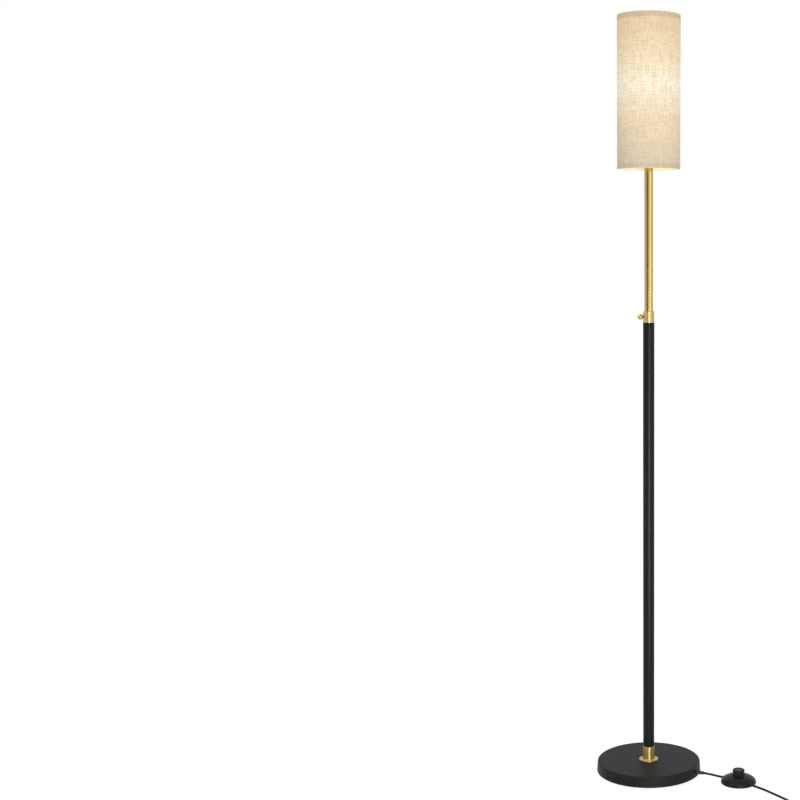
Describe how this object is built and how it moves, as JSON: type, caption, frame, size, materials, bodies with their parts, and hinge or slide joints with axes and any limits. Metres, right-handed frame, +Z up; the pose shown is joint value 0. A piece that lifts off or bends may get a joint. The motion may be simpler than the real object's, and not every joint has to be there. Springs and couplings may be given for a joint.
{
  "type": "telescopic floor lamp",
  "caption": "Floor lamp: weighted round base, black lower pole, brass upper pole that slides and turns under a thumb screw, tall linen drum shade, foot switch on the lead.",
  "frame": {"origin": "centre of the base's underside on the floor, on the axis of both poles", "axes": "+Z up along the poles; +X to the right, the side on which the lead leaves; -Y to the front, towards the camera of the picture; the thumb screw points along -X"},
  "size_m": [0.4556, 0.428, 1.649],
  "materials": {
    "black_coat": "satin black powder coat",
    "satin_brass": "brushed and lacquered, satin",
    "weight_iron": "rough, as cast",
    "plated_steel": "zinc plated",
    "white_wire": "gloss white paint",
    "natural_nylon": "moulded, unpainted",
    "white_plastic": "moulded, smooth",
    "black_plastic": "moulded, fine texture",
    "black_rubber": "moulded, matt",
    "black_pvc": "extruded, slight sheen",
    "linen": "slubbed plain weave over styrene, translucent",
    "lining": "smooth white styrene sheet, translucent",
    "bulb_glass": "frosted white diffuser",
    "bulb_metal": "pressed, bare"
  },
  "bodies": {
    "stand": {"base_cover": "black_coat", "base_weight": "weight_iron", "base_plate": "black_coat", "base_pad": "black_rubber", "base_collar": "satin_brass", "pole_stud": "plated_steel", "stud_washer": "plated_steel", "stud_nut": "plated_steel", "cord_bush": "black_rubber", "terminal_block": "white_plastic", "block_screws": "plated_steel", "base_lead": "black_pvc", "pole_foot": "plated_steel", "lower_pole": "black_coat", "top_collar": "satin_brass", "guide_bush": "natural_nylon", "lead_lower": "black_pvc", "switch_pads": "black_rubber", "switch_base": "black_plastic", "switch_cover": "black_plastic", "switch_grommets": "black_rubber", "switch_mechanism": "white_plastic", "switch_contacts": "satin_brass", "switch_screws": "plated_steel", "switch_spring": "plated_steel", "cord_to_switch": "black_pvc", "cord_run": "black_pvc", "cord_coil": "black_pvc", "coil_tie": "black_rubber", "plug_relief": "black_pvc", "plug_body": "black_pvc", "plug_blades": "satin_brass"},
    "glide": {"glide_bush": "natural_nylon"},
    "mast": {"upper_pole": "satin_brass", "glide_clips": "plated_steel", "pole_top_plug": "plated_steel", "socket_nipple": "plated_steel", "nipple_nut": "plated_steel", "lead_upper": "black_pvc", "lampholder_cap": "black_plastic", "lampholder_body": "black_plastic", "lampholder_core": "white_plastic", "screw_shell": "satin_brass", "centre_contact": "satin_brass", "holder_terminals": "plated_steel", "shade_ring": "black_plastic", "shade_spider": "white_wire", "shade_top_ring": "white_wire", "shade_linen": "linen", "shade_lining": "lining", "bulb_cap": "bulb_metal", "bulb_contact": "bulb_metal", "bulb_body": "white_plastic", "bulb_globe": "bulb_glass"},
    "shoe": {"clamp_shoe": "natural_nylon"},
    "thumb_screw": {"thumb_screw": "satin_brass"},
    "switch_button": {"switch_button": "black_plastic"}
  },
  "joints": [
    {"name": "mast_slide", "type": "slide", "parent": "stand", "child": "glide", "axis": [0, 0, 1], "range_m": [-0.28, 0], "deforming": ["lead_lower"]},
    {"name": "mast_turn", "type": "hinge", "parent": "glide", "child": "mast", "pos_m": [0, 0, 0.962], "axis": [0, 0, 1], "range_deg": [-170, 170]},
    {"name": "shoe_slide", "type": "slide", "parent": "stand", "child": "shoe", "axis": [-1, 0, 0], "range_m": [0, 0.0008]},
    {"name": "thumb_turn", "type": "hinge", "parent": "shoe", "child": "thumb_screw", "pos_m": [-0.0182, 0, 1.01225], "axis": [-1, 0, 0], "range_deg": [0, 360]},
    {"name": "switch_press", "type": "slide", "parent": "stand", "child": "switch_button", "axis": [0, 0, -1], "range_m": [0, 0.0035], "stiffness_N_per_m": 600, "springref_m": -0.006, "deforming": ["switch_spring"]}
  ],
  "couplings": [
    {"joint": "thumb_turn", "follows": "shoe_slide", "rad_per_m": 7854}
  ]
}
